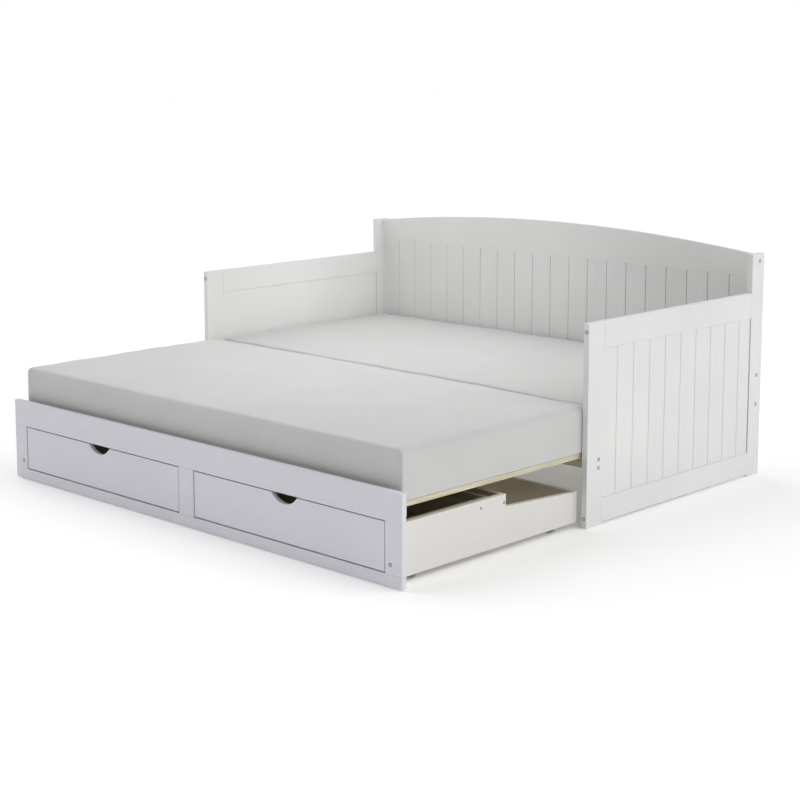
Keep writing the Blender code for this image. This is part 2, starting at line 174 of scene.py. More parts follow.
def lacquered_pine(name, axis, low, high):
    """Pine boards sprayed with white polyurethane lacquer: even and satin, the sanded grain just
    telling through it along the board, with a fine orange-peel from the spray gun. low and high
    are the two tones that the coat drifts between."""
    made, tree, shader, place = blank(name)
    long_place = add(
        tree, "Mapping", "Vector", {"Vector": place, "Scale": drawn_out(axis, 260, 7)}
    )
    grain = add(
        tree,
        "TexNoise",
        "Fac",
        {
            "Vector": long_place,
            "Scale": 1.0,
            "Detail": 5.0,
            "Roughness": 0.55,
            "Distortion": 0.4,
        },
    )
    cloud = add(
        tree, "TexNoise", "Fac", {"Vector": place, "Scale": per_mm(420), "Detail": 3.0}
    )
    peel = add(
        tree, "TexNoise", "Fac", {"Vector": place, "Scale": per_mm(2.2), "Detail": 2.0}
    )
    tone = add(
        tree,
        "ValToRGB",
        "Color",
        {"Fac": cloud},
        stops=[(0.30, linear(low)), (0.70, linear(high))],
    )
    faint = add(
        tree, "ValToRGB", "Color", {"Fac": grain}, stops=[(0.35, grey(0.982)), (0.62, grey(1.0))]
    )
    colour = add(
        tree,
        "Mix",
        MIXED,
        {"Factor": 1.0, FIRST: tone, SECOND: faint},
        blend_type="MULTIPLY",
        **COLOURS,
    )
    tree.links.new(colour, shader.inputs["Base Color"])
    rough = add(
        tree, "ValToRGB", "Color", {"Fac": grain}, stops=[(0.30, grey(0.46)), (0.70, grey(0.38))]
    )
    tree.links.new(rough, shader.inputs["Roughness"])
    shader.inputs["IOR"].default_value = 1.50
    grain_bump = add(
        tree, "Bump", "Normal", {"Height": grain, "Strength": 0.16, "Distance": 0.0004}
    )
    bump = add(
        tree,
        "Bump",
        "Normal",
        {"Height": peel, "Strength": 0.10, "Distance": 0.0003, "Normal": grain_bump},
    )
    tree.links.new(bump, shader.inputs["Normal"])
    return made


def raw_pine(axis):
    """Planed and unfinished pine: pale straw between darker growth rings that run with the board,
    a few small knots, and a dry, slightly fuzzy surface."""
    made, tree, shader, place = blank(f"raw_planed_pine_{axis.lower()}")
    ring_place = add(
        tree, "Mapping", "Vector", {"Vector": place, "Scale": drawn_out(axis, 900, 26)}
    )
    bend = add(tree, "TexNoise", "Fac", {"Vector": ring_place, "Scale": 1.0, "Detail": 2.0})
    turns = add(tree, "Math", 0, {0: bend, 1: RING_TURNS}, operation="MULTIPLY")
    waves = add(tree, "Math", 0, {0: turns}, operation="SINE")
    rings = add(
        tree, "MapRange", "Result", {"Value": waves, "From Min": -1.0, "From Max": 1.0}
    )
    fibre_place = add(
        tree, "Mapping", "Vector", {"Vector": place, "Scale": drawn_out(axis, 60, 1.6)}
    )
    fibre = add(tree, "TexNoise", "Fac", {"Vector": fibre_place, "Scale": 1.0, "Detail": 3.0})
    knot_place = add(
        tree, "Mapping", "Vector", {"Vector": place, "Scale": drawn_out(axis, 330, 150)}
    )
    knots = add(
        tree, "TexVoronoi", "Distance", {"Vector": knot_place, "Scale": 1.0}, feature="F1"
    )
    wood = add(
        tree,
        "ValToRGB",
        "Color",
        {"Fac": rings},
        stops=[(0.0, linear("D2C8A4")), (0.45, linear("DAD3B7")), (1.0, linear("E1DCC8"))],
    )
    streaks = add(
        tree, "ValToRGB", "Color", {"Fac": fibre}, stops=[(0.30, grey(0.88)), (0.65, grey(1.0))]
    )
    streaked = add(
        tree,
        "Mix",
        MIXED,
        {"Factor": 1.0, FIRST: wood, SECOND: streaks},
        blend_type="MULTIPLY",
        **COLOURS,
    )
    knot = add(
        tree, "ValToRGB", "Color", {"Fac": knots}, stops=[(0.045, grey(1.0)), (0.075, grey(0.0))]
    )
    knotted = add(
        tree,
        "Mix",
        MIXED,
        {"Factor": knot, FIRST: streaked, SECOND: linear("9A6A3C")},
        **COLOURS,
    )
    tree.links.new(knotted, shader.inputs["Base Color"])
    shader.inputs["Roughness"].default_value = 0.68
    shader.inputs["IOR"].default_value = 1.45
    bump = add(
        tree, "Bump", "Normal", {"Height": fibre, "Strength": 0.35, "Distance": 0.0005}
    )
    tree.links.new(bump, shader.inputs["Normal"])
    return made


def birch_ply():
    """Rotary-cut birch plywood, unfinished: creamy, with broad wandering figure and fine flecks."""
    made, tree, shader, place = blank("birch_plywood")
    figure_place = add(
        tree, "Mapping", "Vector", {"Vector": place, "Scale": drawn_out("X", 340, 60)}
    )
    figure = add(
        tree,
        "TexNoise",
        "Fac",
        {"Vector": figure_place, "Scale": 1.0, "Detail": 4.0, "Distortion": 0.8},
    )
    fleck_place = add(
        tree, "Mapping", "Vector", {"Vector": place, "Scale": drawn_out("X", 14, 1.5)}
    )
    flecks = add(tree, "TexNoise", "Fac", {"Vector": fleck_place, "Scale": 1.0, "Detail": 2.0})
    wood = add(
        tree,
        "ValToRGB",
        "Color",
        {"Fac": figure},
        stops=[(0.34, linear("BEB299")), (0.50, linear("CABFA9")), (0.66, linear("D3CAB8"))],
    )
    dark = add(
        tree, "ValToRGB", "Color", {"Fac": flecks}, stops=[(0.28, grey(0.86)), (0.45, grey(1.0))]
    )
    flecked = add(
        tree,
        "Mix",
        MIXED,
        {"Factor": 1.0, FIRST: wood, SECOND: dark},
        blend_type="MULTIPLY",
        **COLOURS,
    )
    tree.links.new(flecked, shader.inputs["Base Color"])
    shader.inputs["Roughness"].default_value = 0.62
    bump = add(
        tree, "Bump", "Normal", {"Height": flecks, "Strength": 0.25, "Distance": 0.0004}
    )
    tree.links.new(bump, shader.inputs["Normal"])
    return made


def knitted_ticking():
    """Polyester knit over foam: matt light grey, soft at grazing angles, with ribs of loops. Real
    loops are about 1 mm across; here they are 7 mm, the least that shows."""
    made, tree, shader, place = blank("knitted_mattress_ticking")
    knit_wave = {"Scale": band_scale(7.0), "Distortion": 1.2, "Detail": 2.0}
    ribs = add(
        tree, "TexWave", "Fac", {"Vector": place, **knit_wave}, bands_direction="DIAGONAL"
    )
    turned = add(
        tree, "Mapping", "Vector", {"Vector": place, "Rotation": (0, 0, math.radians(90))}
    )
    courses = add(
        tree, "TexWave", "Fac", {"Vector": turned, **knit_wave}, bands_direction="DIAGONAL"
    )
    loops = add(tree, "Math", 0, {0: ribs, 1: courses}, operation="MULTIPLY")
    fuzz = add(
        tree,
        "TexNoise",
        "Fac",
        {"Vector": place, "Scale": per_mm(3.0), "Detail": 4.0, "Roughness": 0.7},
    )
    cloud = add(
        tree, "TexNoise", "Fac", {"Vector": place, "Scale": per_mm(260), "Detail": 4.0}
    )
    tone = add(
        tree,
        "ValToRGB",
        "Color",
        {"Fac": cloud},
        stops=[(0.30, linear("CECECD")), (0.70, linear("D2D2D1"))],
    )
    # painted shade: the knit is darkened a little in the hollows between its loops
    knit_hollow_shade = add(
        tree, "ValToRGB", "Color", {"Fac": loops}, stops=[(0.0, grey(0.955)), (0.55, grey(1.0))]
    )
    colour = add(
        tree,
        "Mix",
        MIXED,
        {"Factor": 1.0, FIRST: tone, SECOND: knit_hollow_shade},
        blend_type="MULTIPLY",
        **COLOURS,
    )
    tree.links.new(colour, shader.inputs["Base Color"])
    shader.inputs["Roughness"].default_value = 0.92
    shader.inputs["Sheen Weight"].default_value = 0.25
    shader.inputs["Sheen Roughness"].default_value = 0.55
    shader.inputs["Specular IOR Level"].default_value = 0.25
    knit = add(
        tree, "Bump", "Normal", {"Height": loops, "Strength": 0.30, "Distance": 0.0008}
    )
    bump = add(
        tree,
        "Bump",
        "Normal",
        {"Height": fuzz, "Strength": 0.20, "Distance": 0.0006, "Normal": knit},
    )
    tree.links.new(bump, shader.inputs["Normal"])
    return made


def moulded_nylon():
    """Moulded grey nylon: waxy, with a faint mottle and scuffs from the floor."""
    made, tree, shader, place = blank("moulded_nylon")
    mottle = add(
        tree, "TexNoise", "Fac", {"Vector": place, "Scale": per_mm(4), "Detail": 4.0}
    )
    colour = add(
        tree,
        "ValToRGB",
        "Color",
        {"Fac": mottle},
        stops=[(0.3, linear("7A7A78")), (0.7, linear("8E8E8C"))],
    )
    tree.links.new(colour, shader.inputs["Base Color"])
    rough = add(
        tree, "ValToRGB", "Color", {"Fac": mottle}, stops=[(0.3, grey(0.42)), (0.7, grey(0.58))]
    )
    tree.links.new(rough, shader.inputs["Roughness"])
    shader.inputs["IOR"].default_value = 1.53
    bump = add(
        tree, "Bump", "Normal", {"Height": mottle, "Strength": 0.2, "Distance": 0.0003}
    )
    tree.links.new(bump, shader.inputs["Normal"])
    return made


def zinc_plated_steel():
    """Bright zinc on pressed steel: greyish, with the cloudy spangle of the plating bath."""
    made, tree, shader, place = blank("zinc_plated_steel")
    cloud = add(
        tree, "TexNoise", "Fac", {"Vector": place, "Scale": per_mm(5), "Detail": 5.0}
    )
    colour = add(
        tree,
        "ValToRGB",
        "Color",
        {"Fac": cloud},
        stops=[(0.3, linear("74777A")), (0.7, linear("909396"))],
    )
    tree.links.new(colour, shader.inputs["Base Color"])
    shader.inputs["Metallic"].default_value = 1.0
    rough = add(
        tree, "ValToRGB", "Color", {"Fac": cloud}, stops=[(0.3, grey(0.30)), (0.7, grey(0.48))]
    )
    tree.links.new(rough, shader.inputs["Roughness"])
    return made


def studio_floor():
    """A matt white studio floor. It glows a little, so that it stays nearly as white as what
    shows behind the bed."""
    made, _, shader, _ = blank("studio_floor")
    shader.inputs["Base Color"].default_value = grey(0.94)
    shader.inputs["Roughness"].default_value = 0.95
    shader.inputs["Specular IOR Level"].default_value = 0.0
    shader.inputs["Emission Color"].default_value = grey(1.0)
    shader.inputs["Emission Strength"].default_value = 0.15
    return made


WHITE = {
    axis: lacquered_pine(f"white_lacquered_pine_{axis.lower()}", axis, "E4E4E3", "EBEBEA")
    for axis in "XYZ"
}
# A cooler and darker copy of the white lacquer, on the drawer unit's front: painted shade, and the
# bluish cast of the light that these front faces get.
FRONT_WHITE_PAINTED_SHADE = lacquered_pine("front_white_lacquered_pine_painted_shade", "X", "DCDCE4", "E1E1E8")
# A warmer white, darker than the arms' lacquer as painted shade for its place low down by the floor, on
# the sides and rear board of the pull-out box.
BOX_WHITE_PAINTED_SHADE = lacquered_pine("box_white_pine_painted_shade", "Y", "E0DED9", "E4E2DE")
PINE = {axis: raw_pine(axis) for axis in "XY"}
PLY = birch_ply()
TICKING = knitted_ticking()
NYLON = moulded_nylon()
ZINC = zinc_plated_steel()

# ---- makers -------------------------------------------------------------------------------


def piece(name, mesh, material, body, slot, *nodes):
    """Links a finished mesh as a visible piece: its material, its body, and the nodes it stands for."""
    made = bpy.data.objects.new(name, mesh)
    bpy.context.scene.collection.objects.link(made)
    mesh.materials.clear()
    mesh.materials.append(material)
    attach(made, body)
    if nodes:
        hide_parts(*nodes)
    return made


def mesh_from(made, name, sharp):
    """Turns a bmesh into a mesh, shaded smooth but for edges that turn by more than sharp degrees."""
    bmesh.ops.recalc_face_normals(made, faces=made.faces)
    mesh = bpy.data.meshes.new(name)
    made.to_mesh(mesh)
    made.free()
    mesh.shade_smooth()
    mesh.set_sharp_from_angle(angle=math.radians(sharp))
    return mesh


def round_edges(made, mesh, body, node, radius=BOARD_ROUND):
    """Sands a board's edges round, but leaves those that lie against a neighbour nearly sharp."""
    neighbours = [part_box(other) for other in BODY_NODES[body] if other != node]
    weight = mesh.attributes.new("bevel_weight_edge", "FLOAT", "EDGE")
    for edge, share in zip(mesh.edges, weight.data):
        middle = (mesh.vertices[edge.vertices[0]].co + mesh.vertices[edge.vertices[1]].co) / 2
        meets = any(within(middle, low, high, TOUCH) for low, high in neighbours)
        share.value = JOINT_ROUND_SHARE if meets else 1.0
    bevel = made.modifiers.new("sanded_edges", "BEVEL")
    bevel.limit_method = "WEIGHT"
    bevel.width = radius
    bevel.segments = ROUND_SEGMENTS
    bevel.harden_normals = True


def within(point, low, high, margin):
    return all(low[i] - margin < point[i] < high[i] + margin for i in range(3))


def box_into(made, low, high):
    """Adds a box between two corners to a bmesh."""
    for point in bmesh.ops.create_cube(made, size=1.0)["verts"]:
        point.co = Vector(low[i] + (point.co[i] + 0.5) * (high[i] - low[i]) for i in range(3))


def prism_into(made, outline, axis, low, high):
    """Adds an outline, in the other two axes in cyclic order, extruded from low to high on one axis."""
    first = "XYZ".index(axis)
    order = (first, (first + 1) % 3, (first + 2) % 3)
    rings = []
    for along in (low, high):
        ring = []
        for point in outline:
            co = Vector()
            for index, value in zip(order, (along, *point)):
                co[index] = value
            ring.append(made.verts.new(co))
        rings.append(ring)
    made.faces.new(reversed(rings[0]))
    made.faces.new(rings[1])
    for i in range(len(outline)):
        j = (i + 1) % len(outline)
        made.faces.new((rings[0][i], rings[0][j], rings[1][j], rings[1][i]))


def arc(centre, radius, start, end, count):
    angles = [math.radians(start + (end - start) * i / count) for i in range(count + 1)]
    return [(centre[0] + radius * math.cos(a), centre[1] + radius * math.sin(a)) for a in angles]


# ---- lacquered boards ---------------------------------------------------------------------

BODY_NODES = frame["record"]["behaviour"]["bodies"]
BODY_OF = {node: body for body, nodes in BODY_NODES.items() for node in nodes}
TOUCH = 0.001  # faces this near to each other meet
CLEAR_OF_FOOT = 0.05  # a box side's step and tail are at least this far above its foot
CLEAR_OF_TOP = 0.02  # and this far below its top
FACING = 0.9  # a face looks one way when its normal goes at least this far along it


def longest_axis(node):
    low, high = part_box(node)
    size = high - low
    return "XYZ"[max(range(3), key=lambda i: size[i])]


def board_from(made, node, coat=None, radius=BOARD_ROUND):
    """Finishes a bmesh as the lacquered board that stands for a node."""
    mesh = mesh_from(made, f"{node}_board", BOARD_SHARP)
    material = coat or WHITE[longest_axis(node)]
    board = piece(f"{node}_board", mesh, material, BODY_OF[node], "white_paint", node)
    round_edges(board, mesh, BODY_OF[node], node, radius)
    return board


def lacquered_board(node, coat=None):
    made = bmesh.new()
    box_into(made, *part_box(node))
    return board_from(made, node, coat)


def leave_bare(board, side, wood):
    """Leaves one face of a board unpainted."""
    board.data.materials.append(wood)
    for face in board.data.polygons:
        if face.normal.dot(Vector(side)) > FACING:
            face.material_index = 1


def arched_rail(node):
    """The back's top rail, sawn to a long shallow arch on its upper edge."""
    low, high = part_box(node)
    upper = [v.co for v in NODES[node].data.vertices if v.co.z > (low.z + high.z) / 2]
    ends = max(p.z for p in upper if p.x > high.x - TOUCH)
    reach = high.x
    rise = high.z - ends
    radius = (reach**2 + rise**2) / (2 * rise)
    half = math.degrees(math.asin(reach / radius))
    crown = arc((0, high.z - radius), radius, 90 - half, 90 + half, ARCH_STEPS)
    outline = [(-reach, low.z), (reach, low.z), *crown]
    made = bmesh.new()
    prism_into(made, [(z, x) for x, z in outline], "Y", low.y, high.y)
    board_from(made, node)


def side_outline(node):
    """The (y, z) corners of a box side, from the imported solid: drawer bay, step and sloping tail."""
    low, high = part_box(node)
    points = [v.co for v in NODES[node].data.vertices]
    behind = [p for p in points if low.z + CLEAR_OF_FOOT < p.z < high.z - CLEAR_OF_TOP]
    step_top = max(p.z for p in behind)
    step_y = max(p.y for p in points if p.z > high.z - 2 * TOUCH)
    tail_y = max(p.y for p in behind if p.z > step_top - TOUCH)
    rear_top = max(p.z for p in behind if p.y > high.y - TOUCH)
    return [
        (low.y, low.z),
        (high.y, low.z),
        (high.y, rear_top),
        (tail_y, step_top),
        (step_y, step_top),
        (step_y, high.z),
        (low.y, high.z),
    ]


def box_side(node):
    """A side of the pull-out box: tall beside the drawers, stepped down behind them.

    Its inner face is left as bare wood.
    """
    low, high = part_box(node)
    made = bmesh.new()
    prism_into(made, side_outline(node), "X", low.x, high.x)
    # the darker white here is painted shade
    board = board_from(made, node, BOX_WHITE_PAINTED_SHADE)
    leave_bare(board, (-math.copysign(1, low.x), 0, 0), PLY)


def planked_panel(node, across, pitch, on_middle, faces, faces_at, ends):
    """Tongue-and-groove planks, with a V and an open joint between each two.

    across is the axis that the planks follow each other along, and on_middle says whether a joint
    lies on the panel's middle. faces holds the signs of the faces that show the joints, faces_at
    both faces' places, and ends how far the planks stop short of the panel's box at each end.
    """
    low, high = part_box(node)
    axis = "XYZ".index(across)
    start = low[axis] + ends[0]
    end = high[axis] - ends[1]
    middle = (low[axis] + high[axis]) / 2
    count = int((high[axis] - low[axis]) / 2 / pitch + (0 if on_middle else 0.5))
    steps = range(-count, count + 1) if on_middle else range(-count, count)
    joints = [middle + (i if on_middle else i + 0.5) * pitch for i in steps]
    joints = [joint for joint in joints if start + pitch / 4 < joint < end - pitch / 8]

    def face(level, inward, jointed):
        points = [(start, level)]
        for joint in joints if jointed else []:
            points += [
                (joint - GROOVE_HALF, level),
                (joint - SLIT_HALF, level + inward * GROOVE_DEEP),
                (joint - SLIT_HALF, level + inward * SLIT_DEEP),
                (joint + SLIT_HALF, level + inward * SLIT_DEEP),
                (joint + SLIT_HALF, level + inward * GROOVE_DEEP),
                (joint + GROOVE_HALF, level),
            ]
        return [*points, (end, level)]

    outline = face(faces_at[0], 1, -1 in faces)
    outline += reversed(face(faces_at[1], -1, 1 in faces))
    if across == "Y":
        outline = [(b, a) for a, b in outline]
    made = bmesh.new()
    prism_into(made, outline, "Z", low.z, high.z)
    mesh = mesh_from(made, f"{node}_planks", PLANK_SHARP)
    piece(f"{node}_planks", mesh, WHITE["Z"], BODY_OF[node], "white_paint", node)


FRONT_INSET = 0.0012  # drawer fronts behind their packed place, so that the gap round them tells
FRONT_TRIM = 0.0018  # and smaller all round by this
FRONT_ROUND_EDGE = 0.0007


def drawer_front(node):
    """A drawer front with a shallow round finger notch in the middle of its top edge."""
    low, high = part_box(node)
    centre = (low.x + high.x) / 2
    rim = [v.co for v in NODES[node].data.vertices if v.co.z > high.z - TOUCH]
    half = centre - max(p.x for p in rim if p.x < centre)
    near = [v.co for v in NODES[node].data.vertices if abs(v.co.x - centre) < half / 4]
    foot = min(p.z for p in near if p.z > (low.z + high.z) / 2)
    top = high.z - FRONT_TRIM
    deep = top - foot
    radius = (half**2 + deep**2) / (2 * deep)
    dip = math.degrees(math.asin(half / radius))
    notch = arc((centre, foot + radius), radius, 270 + dip, 270 - dip, NOTCH_STEPS)
    left = low.x + FRONT_TRIM
    right = high.x - FRONT_TRIM
    bottom = low.z + FRONT_TRIM
    outline = [(left, bottom), (right, bottom), (right, top), *notch, (left, top)]
    made = bmesh.new()
    prism_into(made, [(z, x) for x, z in outline], "Y", low.y + FRONT_INSET, high.y)
    # the darker, bluer lacquer here is painted shade
    board_from(made, node, FRONT_WHITE_PAINTED_SHADE, FRONT_ROUND_EDGE)


# ---- bolts and screws ---------------------------------------------------------------------

BOLT_RADIUS = 0.0072
BOLT_PROUD = 0.0010
SOCKET_RADIUS = 0.0043
SOCKET_DEEP = 0.0068
BOLT_SIDES = 12
SCREW_SIZE = 0.75  # of a bolt

# Where the bolts and screws go. DROP is from the top edge of the board, RISE from its foot.
POST_BOLT_DROP = 0.030
POST_BOLT_RISE = 0.033
CROSS_BOLT_DROP = 0.008
CROSS_BOLT_RISE = 0.009
BACK_BOLT_DROP = 0.029
BACK_RAIL_BOLT_DROP = 0.025
BACK_RAIL_BOLT_RISE = 0.075
REAR_BOLT_DROP = 0.048
REAR_BOLT_RISE = 0.052
FRONT_BOLT_X = 0.980
FRONT_BOLT_Z = 0.0745
CROSS_SCREW_Z = 0.166
BAY_SCREW_Z = 0.170
BAY_SCREW_AHEAD = 0.116  # of the cross panel
REAR_SCREW_IN = 0.009
REAR_SCREWS_Z = (0.105, 0.048)


def turned_into(made, profile, steps, centre, normal):
    """Adds a closed solid turned about normal through centre from (height, radius) points."""
    spin = Vector(normal).to_track_quat("Z", "Y").to_matrix().to_4x4()
    spin.translation = Vector(centre)
    turn = [2 * math.pi * i / steps for i in range(steps)]
    rings = []
    for height, radius in profile:
        points = [(0, 0, height)]
        if radius:
            points = [(radius * math.cos(a), radius * math.sin(a), height) for a in turn]
        rings.append([made.verts.new(spin @ Vector(point)) for point in points])
    for lower, upper in zip(rings, rings[1:]):
        for i in range(steps):
            j = (i + 1) % steps
            if len(lower) == 1:
                made.faces.new((lower[0], upper[j], upper[i]))
            elif len(upper) == 1:
                made.faces.new((lower[i], lower[j], upper[0]))
            else:
                made.faces.new((lower[i], lower[j], upper[j], upper[i]))


def socket_bolt_into(made, centre, normal, size):
    """A furniture bolt's domed head with a deep socket."""
    bolt = BOLT_RADIUS * size
    socket = SOCKET_RADIUS * size
    profile = [
        (-SOCKET_DEEP - BOLT_PROUD, 0),
        (-SOCKET_DEEP - BOLT_PROUD, bolt * 0.9),
        (BOLT_PROUD * 0.2, bolt),
        (BOLT_PROUD * 0.6, bolt * 0.93),
        (BOLT_PROUD, bolt * 0.72),
        (BOLT_PROUD, socket),
        (BOLT_PROUD - SOCKET_DEEP, socket * 0.96),
        (BOLT_PROUD - SOCKET_DEEP, 0),
    ]
    turned_into(made, profile, BOLT_SIDES, centre, normal)


def bolts(name, body, places, size=1.0):
    """One piece for the bolts that go into one side of a body: (point, direction) pairs."""
    made = bmesh.new()
    for centre, normal in places:
        socket_bolt_into(made, centre, normal, size)
    piece(name, mesh_from(made, name, BOLT_SHARP), ZINC, body, "zinc_steel")


def daybed_bolts(side, sign):
    """The bolts through one arm: into its front post, the cross rail, and the back post."""
    post_low, post_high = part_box(f"arm_{side}_front_post")
    back_low, back_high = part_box(f"back_post_{side}")
    cross_low, cross_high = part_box("front_cross_rail")
    top_low, top_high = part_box("back_top_rail")
    bottom_low, bottom_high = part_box("back_bottom_rail")
    middle = (post_low.x + post_high.x) / 2
    outer = sign * max(abs(post_low.x), abs(post_high.x))
    cross_y = (cross_low.y + cross_high.y) / 2
    back_y = (top_low.y + top_high.y) / 2
    ahead = (0, -1, 0)
    outward = (sign, 0, 0)
    behind = (0, 1, 0)
    places = [
        ((middle, post_low.y, post_high.z - POST_BOLT_DROP), ahead),
        ((middle, post_low.y, post_low.z + POST_BOLT_RISE), ahead),
        ((outer, cross_y, cross_high.z - CROSS_BOLT_DROP), outward),
        ((outer, cross_y, cross_low.z + CROSS_BOLT_RISE), outward),
        ((outer, back_y, back_high.z - BACK_BOLT_DROP), outward),
        ((outer, back_y, bottom_high.z - BACK_RAIL_BOLT_DROP), outward),
        ((outer, back_y, bottom_low.z + BACK_RAIL_BOLT_RISE), outward),
        ((middle, back_high.y, post_high.z - REAR_BOLT_DROP), behind),
        ((middle, back_high.y, back_low.z + REAR_BOLT_RISE), behind),
    ]
    bolts(f"daybed_bolts_{side}", "daybed", places)


def box_screws(side, sign):
    """The screws through one side and the rear board of the pull-out box."""
    side_low, side_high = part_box(f"box_side_{side}")
    cross_low, cross_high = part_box("box_cross_panel")
    _, rear_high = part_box("box_rear_board")
    outer = sign * max(abs(side_low.x), abs(side_high.x))
    cross_y = (cross_low.y + cross_high.y) / 2
    end_x = sign * (rear_high.x - REAR_SCREW_IN)
    places = [
        ((outer, cross_y, CROSS_SCREW_Z), (sign, 0, 0)),
        ((outer, cross_y - BAY_SCREW_AHEAD, BAY_SCREW_Z), (sign, 0, 0)),
    ]
    places += [((end_x, rear_high.y, z), (0, 1, 0)) for z in REAR_SCREWS_Z]
    bolts(f"box_screws_{side}", "pullout_unit", places, SCREW_SIZE)


def make_bolts():
    for side, sign in (("left", -1), ("right", 1)):
        daybed_bolts(side, sign)
        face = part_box(f"front_stile_{side}")[0].y
        place = (sign * FRONT_BOLT_X, face, FRONT_BOLT_Z)
        bolts(f"front_bolt_{side}", "pullout_unit", [(place, (0, -1, 0))])
        box_screws(side, sign)


# ---- mattresses ---------------------------------------------------------------------------

ARM_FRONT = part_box("arm_left_front_post")[0].y
END_ROUND = 0.026  # how far the rolled edges reach in from each end of the mattress
END_REACH = 0.070  # over this last stretch of its length
FRONT_ROUND = 0.010  # and from its long sides, which are fuller
SEAM_ROUND = 0.008  # where the two mattresses press together
FOOT_ROUND = 0.009
FINE = 0.0065  # spacing of the cover's quads near its edges
COARSE = 0.020  # and elsewhere
FINE_REACH = 0.026
SWELL_CAP = 0.006
START_IN = 0.003  # the cover starts this much inside its space and swells out to it
CROWN = 0.004  # how far the cover starts over the foam's packed top
PROUD = 0.012  # and the most that it stands over it once it has swollen
SETTLE_FRAMES = 20
REAR_SEED = 3.0  # where each mattress's settling starts in the noise
FRONT_SEED = 11.0
ARM_CLEAR = 0.9913  # half-width left between the arms
ARM_REACH = 0.030  # how far ahead of the arms the mattress may start to widen
SEAM_CLEAR = 0.0015  # each mattress may swell past its packed face at the seam by this
LOOSE_LEFT = 0.026  # the pulled-out mattress is wider than the arms let it be at home
LOOSE_RIGHT = 0.010

# How the top settles: waves per metre, and how deep each goes.
BROAD_WAVES = 2.1
BROAD_DEEP = 0.0010
DRAPE_WAVES = 4.6  # along the rolled edges
DRAPE_DEEP = 0.0045
DRAPE_REACH = 0.045
PUCKER_WAVES = 10.0  # along their crests
PUCKER_DEEP = 0.0060
PUCKER_REACH = 0.025
SIDE_BULGE = 0.0030
FOOT_STILL = 0.03  # the underside's edge doesn't settle,
TOP_FREE = 0.02  # and the top settles fully from this far below it

# How the seam dips towards its right end.
SEAM_DIP = 0.013
SEAM_DIP_WIDTH = 0.075
SEAM_DIP_DEPTH = 0.05  # below the top, where the dip ends
SEAM_DIP_START = 0.30
SEAM_DIP_END = 0.95


def stations(low, high):
    """Places from low to high: FINE apart near both ends and about COARSE apart between."""
    count = round(FINE_REACH / FINE)
    near = [i * FINE for i in range(count + 1)]
    reach = high - low - 2 * FINE_REACH
    steps = max(2, round(reach / COARSE))
    middle = [low + FINE_REACH + reach * i / steps for i in range(1, steps)]
    return [low + d for d in near] + middle + [high - d for d in reversed(near)]


def cover_mesh(name, low, high, seam):
    """A closed box of quads with every edge rolled over: round in plan, softer above than below."""
    places = [stations(low[i], high[i]) for i in range(3)]
    last = [len(p) - 1 for p in places]
    made = bmesh.new()
    grid = {}
    for i, x in enumerate(places[0]):
        for j, y in enumerate(places[1]):
            for k, z in enumerate(places[2]):
                if 0 < i < last[0] and 0 < j < last[1] and 0 < k < last[2]:
                    continue
                grid[i, j, k] = made.verts.new(rolled(Vector((x, y, z)), low, high, seam))
    for axis in range(3):
        first, second = (axis + 1) % 3, (axis + 2) % 3
        for end in (0, last[axis]):
            for a in range(last[first]):
                for b in range(last[second]):
                    ring = []
                    for da, db in ((0, 0), (1, 0), (1, 1), (0, 1)):
                        key = [0, 0, 0]
                        key[axis] = end
                        key[first] = a + da
                        key[second] = b + db
                        ring.append(grid[tuple(key)])
                    made.faces.new(ring if end else reversed(ring))
    bmesh.ops.recalc_face_normals(made, faces=made.faces)
    mesh = bpy.data.meshes.new(name)
    made.to_mesh(mesh)
    made.free()
    mesh.shade_smooth()
    return mesh


def rolled(point, low, high, seam):
    """Moves a point of a square-edged box onto the same box with rolled edges.

    seam is the Y of the face that presses against the other mattress, which is rolled less.
    """
    from_end = min(point.x - low.x, high.x - point.x)
    at_end = 1.0 - smooth_step(from_end, 0.0, END_REACH)
    at_seam = abs(point.y - seam) < (high.y - low.y) / 2
    side = SEAM_ROUND if at_seam else FRONT_ROUND
    top = side + (END_ROUND - side) * at_end
    upper = point.z > (low.z + high.z) / 2
    reach = Vector((END_ROUND, side, top if upper else FOOT_ROUND))
    core = Vector(min(max(point[i], low[i] + reach[i]), high[i] - reach[i]) for i in range(3))
    out = Vector((point[i] - core[i]) / reach[i] for i in range(3))
    biggest = max(abs(c) for c in out)
    if biggest == 0:
        return point
    share = biggest / out.length
    return core + Vector(out[i] * share * reach[i] for i in range(3))


def swell(made, rest_height):
    """Lets cloth pressure plump the cover out, its underside held flat, within SWELL_CAP."""
    group = made.vertex_groups.new(name="underside")
    held = [v.index for v in made.data.vertices if v.co.z < rest_height + FOOT_ROUND / 2]
    group.add(held, 1.0, "REPLACE")
    before = coordinates(made.data)
    cloth = made.modifiers.new("cloth", "CLOTH")
    settings = cloth.settings
    settings.quality = 6
    settings.mass = 0.3
    settings.tension_stiffness = 25
    settings.compression_stiffness = 25
    settings.shear_stiffness = 8
    settings.bending_stiffness = 1.5
    settings.use_pressure = True
    settings.uniform_pressure_force = 4.0
    settings.vertex_group_mass = group.name
    settings.effector_weights.gravity = 0.0
    cloth.point_cache.frame_start = 1
    cloth.point_cache.frame_end = SETTLE_FRAMES
    scene = bpy.context.scene
    for number in range(1, SETTLE_FRAMES + 1):
        scene.frame_set(number)
    swollen = made.evaluated_get(bpy.context.evaluated_depsgraph_get())
    after = coordinates(swollen.data)
    made.modifiers.remove(cloth)
    made.vertex_groups.remove(group)
    scene.frame_set(1)
    move = after - before
    length = np.linalg.norm(move, axis=1, keepdims=True)
    move *= np.minimum(1.0, SWELL_CAP / np.maximum(length, 1e-9))
    made.data.vertices.foreach_set("co", (before + move).ravel())


